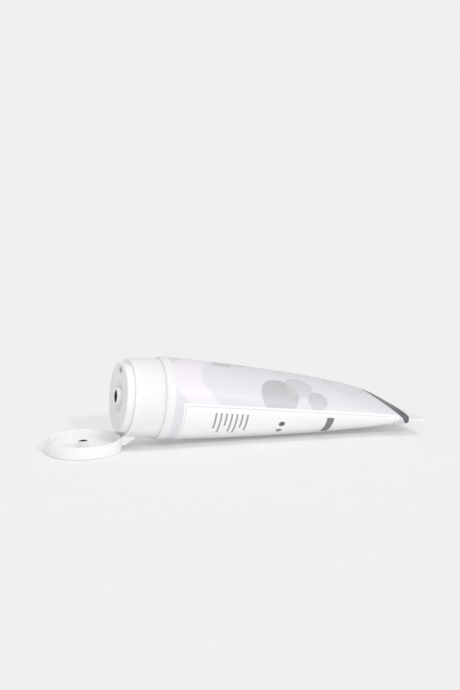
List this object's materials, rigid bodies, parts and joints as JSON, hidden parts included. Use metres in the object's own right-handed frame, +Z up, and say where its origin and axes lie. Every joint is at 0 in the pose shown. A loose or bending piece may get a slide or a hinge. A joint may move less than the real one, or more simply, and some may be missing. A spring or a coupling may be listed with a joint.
{
  "type": "face wash tube",
  "caption": "Filled soft face wash tube lying on its side, round at a white cap with an open flip lid and crimped flat at the tail.",
  "frame": {"origin": "on the surface that the tube lies on, under the middle of its length and width", "axes": "+X from the open lid towards the crimped tail, +Y across the crimp away from the picture's camera, +Z up"},
  "size_m": [0.1828, 0.0628, 0.0432],
  "materials": {
    "sleeve_film": "silver-grey printed film, glossy",
    "shoulder_plastic": "natural white, matt",
    "cap_plastic": "white, satin gloss",
    "gel": "wet gel"
  },
  "bodies": {
    "tube": {"tube_sleeve": "sleeve_film", "tube_shoulder": "shoulder_plastic", "cap_base": "cap_plastic", "living_hinge": "cap_plastic", "face_wash_gel": "gel"},
    "lid": {"flip_lid": "cap_plastic"}
  },
  "joints": [
    {"name": "lid_hinge", "type": "hinge", "parent": "tube", "child": "lid", "pos_m": [-0.05433, 0, 0.00615], "axis": [0, 1, 0], "range_deg": [-80, 96.8], "deforming": ["living_hinge"]}
  ]
}
